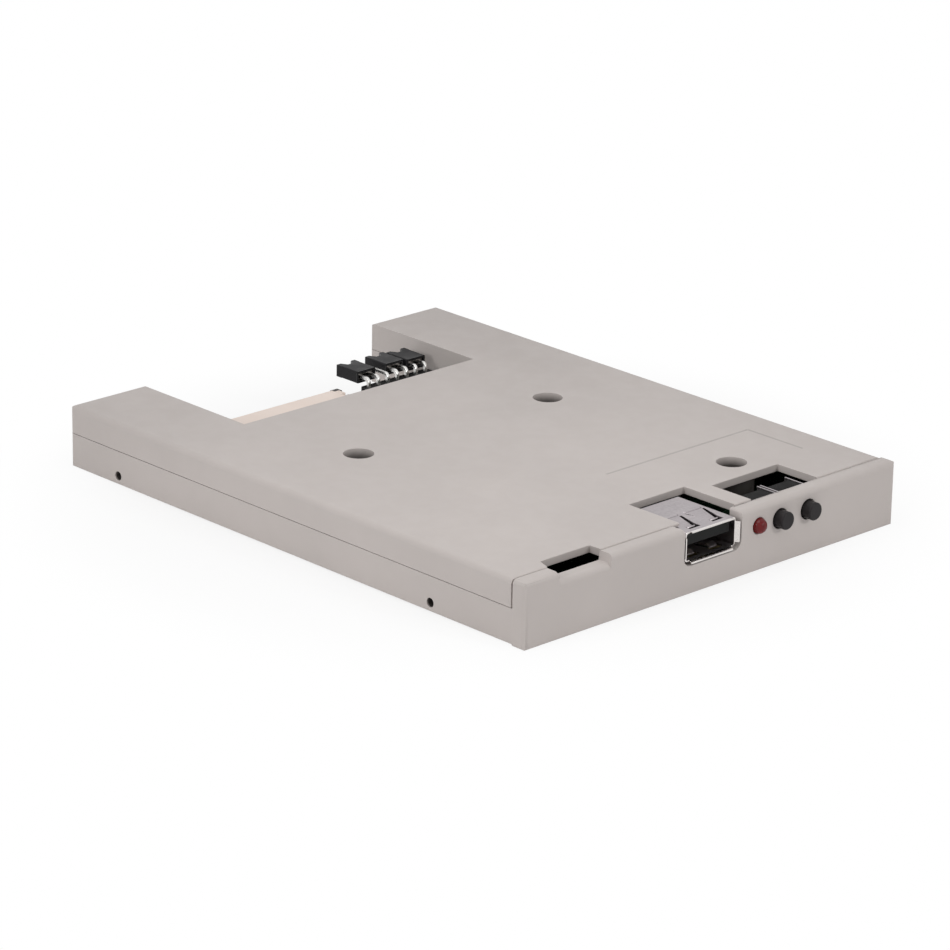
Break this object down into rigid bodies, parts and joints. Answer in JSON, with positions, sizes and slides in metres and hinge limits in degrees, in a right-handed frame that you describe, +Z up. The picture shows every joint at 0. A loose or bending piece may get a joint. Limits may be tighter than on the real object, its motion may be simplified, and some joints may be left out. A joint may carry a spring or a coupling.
{
  "type": "floppy drive emulator",
  "caption": "Slim floppy drive emulator in a grey plastic case, with a memory stick socket, a red lamp and two push buttons in its bezel, and a ribbon connector and jumper header in a rear notch",
  "frame": {"origin": "middle of the whole object's footprint, on the surface it lies on", "axes": "+X to the right seen from the bezel, +Y from the bezel to the rear notch, +Z up through the cover"},
  "size_m": [0.0966, 0.1274, 0.0127],
  "materials": {
    "case_plastic": "warm light grey moulded plastic with a fine spark texture",
    "screw_steel": "zinc plated steel",
    "board_resin": "green solder mask on glass resin",
    "plated_steel": "bright nickel plated sheet steel",
    "black_plastic": "satin black plastic",
    "gloss_black": "glossy black plastic",
    "gold_plate": "thin gold plating",
    "lamp_red": "clear red epoxy",
    "tinned_metal": "bright tin plating",
    "cream_plastic": "cream heat-resistant plastic",
    "dark_plastic": "dark brown plastic",
    "can_aluminium": "drawn aluminium can on a plastic foot",
    "capacitor_ceramic": "tan ceramic"
  },
  "bodies": {
    "drive": {"bottom_tray": "case_plastic", "top_cover": "case_plastic", "cover_screws": "screw_steel", "main_board": "board_resin", "socket_shell": "plated_steel", "socket_tongue": "black_plastic", "socket_contacts": "gold_plate", "lamp_lens": "lamp_red", "lamp_leads": "tinned_metal", "switch_housing_left": "gloss_black", "switch_housing_right": "gloss_black", "switch_bracket_left": "plated_steel", "switch_bracket_right": "plated_steel", "switch_dome_left": "plated_steel", "switch_dome_right": "plated_steel", "switch_pins": "tinned_metal", "ribbon_housing": "cream_plastic", "ribbon_contacts": "gold_plate", "ribbon_solder_tabs": "tinned_metal", "header_base": "black_plastic", "header_pins": "tinned_metal", "controller_chip": "black_plastic", "controller_pins": "tinned_metal", "logic_chips": "black_plastic", "logic_chip_pins": "tinned_metal", "crystal": "plated_steel", "voltage_regulator": "black_plastic", "can_capacitors": "can_aluminium", "chip_capacitors": "capacitor_ceramic", "chip_resistors": "black_plastic"},
    "left_button": {"button_left": "black_plastic"},
    "right_button": {"button_right": "black_plastic"},
    "cable_slider": {"ribbon_slider": "dark_plastic"},
    "cap_a": {"jumper_cap_a": "black_plastic", "jumper_clip_a": "gold_plate"},
    "cap_b": {"jumper_cap_b": "black_plastic", "jumper_clip_b": "gold_plate"},
    "cap_c": {"jumper_cap_c": "black_plastic", "jumper_clip_c": "gold_plate"}
  },
  "joints": [
    {"name": "left_button_press", "type": "slide", "parent": "drive", "child": "left_button", "axis": [0, 1, 0], "range_m": [0, 0.00025], "stiffness_N_per_m": 200},
    {"name": "right_button_press", "type": "slide", "parent": "drive", "child": "right_button", "axis": [0, 1, 0], "range_m": [0, 0.00025], "stiffness_N_per_m": 200},
    {"name": "cable_slider_pull", "type": "slide", "parent": "drive", "child": "cable_slider", "axis": [0, 1, 0], "range_m": [0, 0.0012]},
    {"name": "cap_a_pull", "type": "slide", "parent": "drive", "child": "cap_a", "axis": [0, 1, 0], "range_m": [0, 0.005]},
    {"name": "cap_b_pull", "type": "slide", "parent": "drive", "child": "cap_b", "axis": [0, 1, 0], "range_m": [0, 0.005]},
    {"name": "cap_c_pull", "type": "slide", "parent": "drive", "child": "cap_c", "axis": [0, 1, 0], "range_m": [0, 0.005]}
  ]
}
